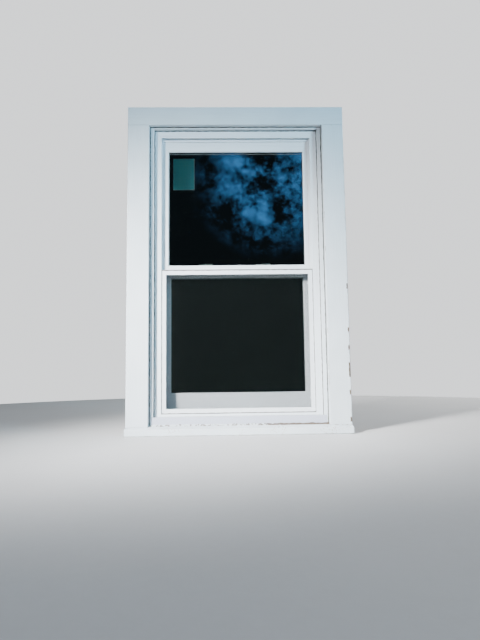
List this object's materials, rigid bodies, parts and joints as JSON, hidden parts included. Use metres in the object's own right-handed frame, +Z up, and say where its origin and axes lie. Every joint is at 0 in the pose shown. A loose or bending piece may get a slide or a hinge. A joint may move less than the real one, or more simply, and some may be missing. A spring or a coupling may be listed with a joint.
{
  "type": "sash window",
  "caption": "White double-hung sash window in a painted wood casing, with sliding tilt-in sashes on spiral balances, cam locks and a half insect screen.",
  "frame": {"origin": "on the wall face behind the casing, at the window's centre line, level with the lowest edge of the wood sill", "axes": "+X to the right seen from outside, +Y into the room, +Z up"},
  "size_m": [0.898, 0.16, 1.3523],
  "materials": {
    "painted_wood": "white house paint over wood, satin",
    "white_vinyl": "white extruded vinyl, soft gloss",
    "angle_vinyl": "weathered white vinyl strip",
    "caulk": "painted caulk, uneven",
    "glass": "clear insulated glass",
    "spacer": "matt spacer bar",
    "steel": "zinc plated",
    "tube": "mill finish tube",
    "nylon": "moulded nylon",
    "hardware": "white enamel on cast metal",
    "seal": "grey pile and bulb seal",
    "sticker": "blank paper sticker",
    "screen_bar": "white enamel on rolled aluminium",
    "mesh": "charcoal insect mesh",
    "spline": "ribbed rubber cord",
    "shim": "bare softwood"
  },
  "bodies": {
    "frame": {"wood_sill": "painted_wood", "casing_left": "painted_wood", "casing_right": "painted_wood", "casing_head": "painted_wood", "blind_stop_left": "painted_wood", "blind_stop_right": "painted_wood", "blind_stop_head": "painted_wood", "wood_jamb_left": "painted_wood", "wood_jamb_right": "painted_wood", "wood_head_jamb": "painted_wood", "inner_stops": "painted_wood", "frame_jamb_left": "white_vinyl", "frame_jamb_right": "white_vinyl", "frame_head": "white_vinyl", "frame_sill": "white_vinyl", "sill_angle": "angle_vinyl", "caulk": "caulk", "shims": "shim", "jamb_screws": "steel", "balance_tubes": "tube"},
    "lower_carriage": {"lower_shoes": "nylon", "lower_spiral_rods": "steel"},
    "lower_sash": {"lower_stile_left": "white_vinyl", "lower_stile_right": "white_vinyl", "lower_bottom_rail": "white_vinyl", "lower_top_rail": "white_vinyl", "lower_outer_pane": "glass", "lower_inner_pane": "glass", "lower_spacer": "spacer", "lower_glazing_beads": "white_vinyl", "lower_pivot_bars": "steel", "lower_seals": "seal", "lock_bases": "hardware"},
    "lock_left": {"lock_lever_left": "hardware"},
    "lock_right": {"lock_lever_right": "hardware"},
    "lower_latch_left": {"lower_latch_left": "white_vinyl"},
    "lower_latch_right": {"lower_latch_right": "white_vinyl"},
    "upper_sash": {"upper_stile_left": "white_vinyl", "upper_stile_right": "white_vinyl", "upper_bottom_rail": "white_vinyl", "upper_top_rail": "white_vinyl", "upper_outer_pane": "glass", "upper_inner_pane": "glass", "upper_spacer": "spacer", "upper_glazing_beads": "white_vinyl", "upper_pivot_bars": "steel", "upper_seals": "seal", "upper_shoes": "nylon", "upper_spiral_rods": "steel", "keepers": "hardware", "sticker": "sticker"},
    "upper_latch_left": {"upper_latch_left": "white_vinyl"},
    "upper_latch_right": {"upper_latch_right": "white_vinyl"},
    "screen": {"screen_frame": "screen_bar", "screen_mesh": "mesh", "screen_spline": "spline"},
    "plunger_lower": {"screen_plunger_lower": "nylon"},
    "plunger_upper": {"screen_plunger_upper": "nylon"}
  },
  "joints": [
    {"name": "lower_sash_slide", "type": "slide", "parent": "frame", "child": "lower_carriage", "axis": [0, 0, 1], "range_m": [0, 0.48]},
    {"name": "lower_sash_tilt", "type": "hinge", "parent": "lower_carriage", "child": "lower_sash", "pos_m": [0, 0.08575, 0.104], "axis": [-1, 0, 0], "range_deg": [0, 90]},
    {"name": "upper_sash_slide", "type": "slide", "parent": "frame", "child": "upper_sash", "axis": [0, 0, -1], "range_m": [0, 0.47]},
    {"name": "lock_left_turn", "type": "hinge", "parent": "lower_sash", "child": "lock_left", "pos_m": [-0.122, 0.076, 0.69], "axis": [0, 0, -1], "range_deg": [0, 180]},
    {"name": "lock_right_turn", "type": "hinge", "parent": "lower_sash", "child": "lock_right", "pos_m": [0.122, 0.076, 0.69], "axis": [0, 0, -1], "range_deg": [0, 180]},
    {"name": "lower_latch_left_slide", "type": "slide", "parent": "lower_sash", "child": "lower_latch_left", "axis": [1, 0, 0], "range_m": [0, 0.008], "stiffness_N_per_m": 150, "springref_m": -0.004},
    {"name": "lower_latch_right_slide", "type": "slide", "parent": "lower_sash", "child": "lower_latch_right", "axis": [-1, 0, 0], "range_m": [0, 0.008], "stiffness_N_per_m": 150, "springref_m": -0.004},
    {"name": "upper_latch_left_slide", "type": "slide", "parent": "upper_sash", "child": "upper_latch_left", "axis": [1, 0, 0], "range_m": [0, 0.008], "stiffness_N_per_m": 150, "springref_m": -0.004},
    {"name": "upper_latch_right_slide", "type": "slide", "parent": "upper_sash", "child": "upper_latch_right", "axis": [-1, 0, 0], "range_m": [0, 0.008], "stiffness_N_per_m": 150, "springref_m": -0.004},
    {"name": "screen_slide", "type": "slide", "parent": "frame", "child": "screen", "axis": [0, 0, 1], "range_m": [0, 0.55]},
    {"name": "plunger_lower_slide", "type": "slide", "parent": "screen", "child": "plunger_lower", "axis": [-1, 0, 0], "range_m": [0, 0.004], "stiffness_N_per_m": 150, "springref_m": -0.002},
    {"name": "plunger_upper_slide", "type": "slide", "parent": "screen", "child": "plunger_upper", "axis": [-1, 0, 0], "range_m": [0, 0.004], "stiffness_N_per_m": 150, "springref_m": -0.002}
  ]
}
